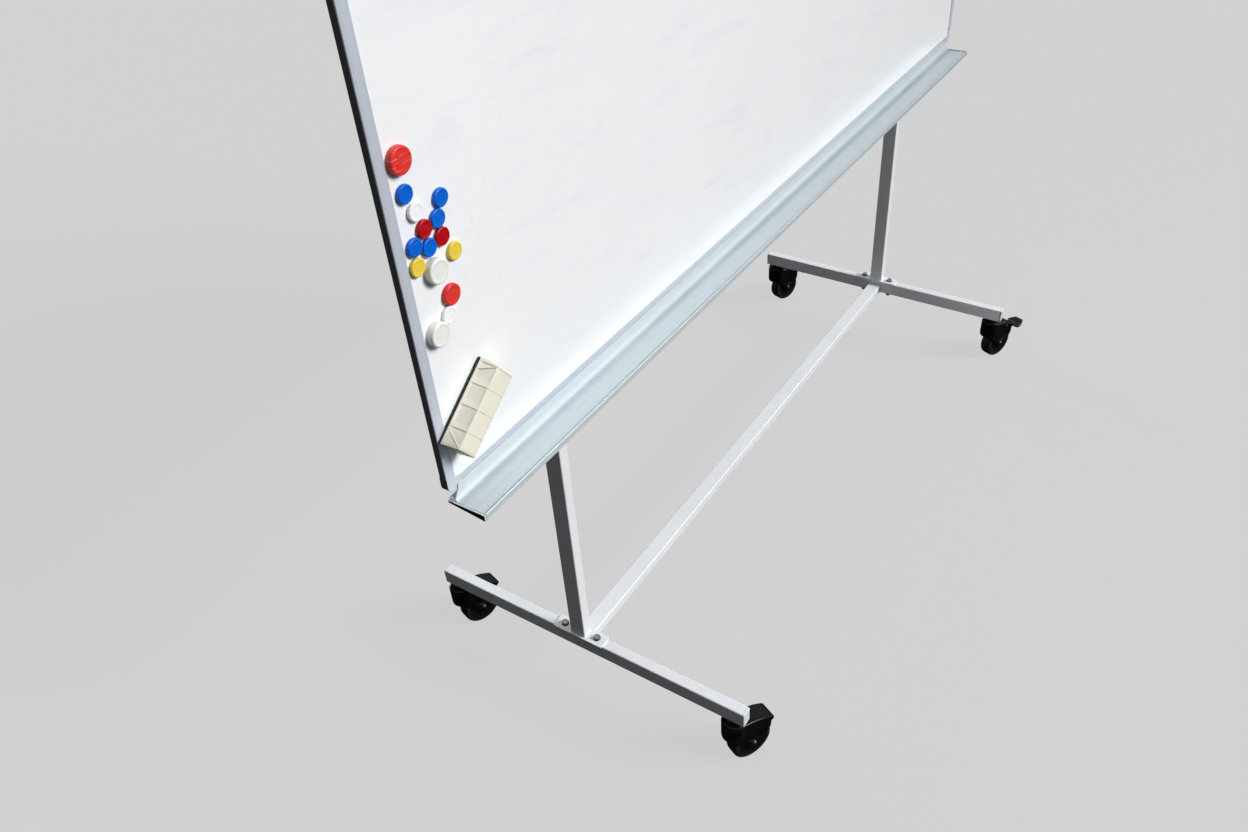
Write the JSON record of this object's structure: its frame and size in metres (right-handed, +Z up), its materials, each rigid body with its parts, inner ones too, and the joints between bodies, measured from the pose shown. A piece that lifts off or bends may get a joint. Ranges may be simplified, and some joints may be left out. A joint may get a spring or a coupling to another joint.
{
  "type": "rolling whiteboard",
  "caption": "Framed magnetic whiteboard on a white tube stand with crossbar, swivel casters, aluminium pen tray, eraser and round magnets.",
  "frame": {"origin": "on the floor under the middle of the outer box, casters turned as at rest", "axes": "+X along the board to the right as seen by someone writing, +Y from the writing side to the back, +Z up"},
  "size_m": [1.8003, 0.6562, 1.879],
  "materials": {
    "white_paint": "white powder coat, slightly orange-peeled",
    "white_enamel": "glossy white enamel",
    "paper_core": "paper honeycomb core",
    "galvanised": "galvanised sheet",
    "zinc": "zinc plated",
    "white_plastic": "moulded",
    "grey_plastic": "moulded, satin",
    "frame_aluminium": "satin anodised, lengthwise grain",
    "tray_aluminium": "satin anodised, lengthwise grain",
    "black_steel": "black passivated",
    "black_plastic": "moulded, satin",
    "bright_steel": "bright plated",
    "black_rubber": "moulded tread",
    "black_hub": "moulded",
    "cream_plastic": "moulded, slightly aged",
    "black_felt": "needled felt",
    "red_plastic": "gloss, fine scratches",
    "dark_red_plastic": "gloss, fine scratches",
    "blue_plastic": "gloss, fine scratches",
    "white_gloss_plastic": "gloss",
    "yellow_plastic": "gloss"
  },
  "bodies": {
    "stand": {"writing_surface": "white_enamel", "board_core": "paper_core", "backing_sheet": "galvanised", "frame_rail_top": "frame_aluminium", "frame_rail_bottom": "frame_aluminium", "frame_rail_left": "frame_aluminium", "frame_rail_right": "frame_aluminium", "corner_cap_top_left": "grey_plastic", "corner_cap_top_right": "grey_plastic", "corner_cap_bottom_left": "grey_plastic", "corner_cap_bottom_right": "grey_plastic", "pen_tray": "tray_aluminium", "tray_end_cap_left": "grey_plastic", "tray_end_cap_right": "grey_plastic", "tray_clips": "zinc", "tray_screws": "zinc", "post_left": "white_paint", "post_right": "white_paint", "post_top_caps": "white_plastic", "board_brackets": "white_paint", "bracket_screws": "zinc", "foot_left": "white_paint", "foot_right": "white_paint", "foot_end_caps": "white_plastic", "base_plate_left": "white_paint", "base_plate_right": "white_paint", "base_bolts": "zinc", "base_washers": "zinc", "base_nuts": "zinc", "crossbar": "white_paint", "crossbar_inserts": "zinc", "crossbar_screws": "zinc", "caster_stems": "black_steel"},
    "swivel_front_left": {"caster_fork_front_left": "black_plastic", "caster_axle_front_left": "bright_steel"},
    "wheel_front_left": {"caster_tyre_front_left": "black_rubber", "caster_hub_front_left": "black_hub"},
    "swivel_back_left": {"caster_fork_back_left": "black_plastic", "caster_axle_back_left": "bright_steel"},
    "wheel_back_left": {"caster_tyre_back_left": "black_rubber", "caster_hub_back_left": "black_hub"},
    "swivel_front_right": {"caster_fork_front_right": "black_plastic", "caster_axle_front_right": "bright_steel", "brake_lever_pin_front_right": "bright_steel"},
    "wheel_front_right": {"caster_tyre_front_right": "black_rubber", "caster_hub_front_right": "black_hub"},
    "lever_front_right": {"brake_lever_front_right": "black_plastic"},
    "swivel_back_right": {"caster_fork_back_right": "black_plastic", "caster_axle_back_right": "bright_steel", "brake_lever_pin_back_right": "bright_steel"},
    "wheel_back_right": {"caster_tyre_back_right": "black_rubber", "caster_hub_back_right": "black_hub"},
    "lever_back_right": {"brake_lever_back_right": "black_plastic"},
    "eraser": {"eraser_body": "cream_plastic", "eraser_felt": "black_felt"},
    "large_red_magnet": {"magnet_red_large": "red_plastic"},
    "red_magnets": {"magnets_red": "dark_red_plastic"},
    "blue_magnets": {"magnets_blue": "blue_plastic"},
    "white_magnets": {"magnets_white": "white_gloss_plastic"},
    "yellow_magnets": {"magnets_yellow": "yellow_plastic"}
  },
  "joints": [
    {"name": "swivel_front_left", "type": "hinge", "parent": "stand", "child": "swivel_front_left", "pos_m": [-0.6568, -0.2726, 0.09], "axis": [0, 0, 1], "continuous": true},
    {"name": "roll_front_left", "type": "hinge", "parent": "swivel_front_left", "child": "wheel_front_left", "pos_m": [-0.62861, -0.28551, 0.0375], "axis": [0.4163, 0.9092, 0], "continuous": true},
    {"name": "swivel_back_left", "type": "hinge", "parent": "stand", "child": "swivel_back_left", "pos_m": [-0.6568, 0.3051, 0.09], "axis": [0, 0, 1], "continuous": true},
    {"name": "roll_back_left", "type": "hinge", "parent": "swivel_back_left", "child": "wheel_back_left", "pos_m": [-0.62712, 0.29614, 0.0375], "axis": [0.289, 0.9573, 0], "continuous": true},
    {"name": "swivel_front_right", "type": "hinge", "parent": "stand", "child": "swivel_front_right", "pos_m": [0.6568, -0.2726, 0.09], "axis": [0, 0, 1], "continuous": true},
    {"name": "roll_front_right", "type": "hinge", "parent": "swivel_front_right", "child": "wheel_front_right", "pos_m": [0.68529, -0.28481, 0.0375], "axis": [0.3939, 0.9191, 0], "continuous": true},
    {"name": "brake_front_right", "type": "hinge", "parent": "swivel_front_right", "child": "lever_front_right", "pos_m": [0.69724, -0.28993, 0.0835], "axis": [0.3939, 0.9191, 0], "range_deg": [0, 11], "stiffness_Nm_per_rad": 0.5},
    {"name": "swivel_back_right", "type": "hinge", "parent": "stand", "child": "swivel_back_right", "pos_m": [0.6568, 0.3051, 0.09], "axis": [0, 0, 1], "continuous": true},
    {"name": "roll_back_right", "type": "hinge", "parent": "swivel_back_right", "child": "wheel_back_right", "pos_m": [0.68608, 0.2949, 0.0375], "axis": [0.3289, 0.9444, 0], "continuous": true},
    {"name": "brake_back_right", "type": "hinge", "parent": "swivel_back_right", "child": "lever_back_right", "pos_m": [0.69835, 0.29063, 0.0835], "axis": [0.3289, 0.9444, 0], "range_deg": [0, 11], "stiffness_Nm_per_rad": 0.5},
    {"name": "eraser_lift", "type": "slide", "parent": "stand", "child": "eraser", "axis": [0, -1, 0], "range_m": [0, 0.15]},
    {"name": "large_red_magnet_lift", "type": "slide", "parent": "stand", "child": "large_red_magnet", "axis": [0, -1, 0], "range_m": [0, 0.12]},
    {"name": "red_magnets_lift", "type": "slide", "parent": "stand", "child": "red_magnets", "axis": [0, -1, 0], "range_m": [0, 0.12]},
    {"name": "blue_magnets_lift", "type": "slide", "parent": "stand", "child": "blue_magnets", "axis": [0, -1, 0], "range_m": [0, 0.12]},
    {"name": "white_magnets_lift", "type": "slide", "parent": "stand", "child": "white_magnets", "axis": [0, -1, 0], "range_m": [0, 0.12]},
    {"name": "yellow_magnets_lift", "type": "slide", "parent": "stand", "child": "yellow_magnets", "axis": [0, -1, 0], "range_m": [0, 0.12]}
  ]
}
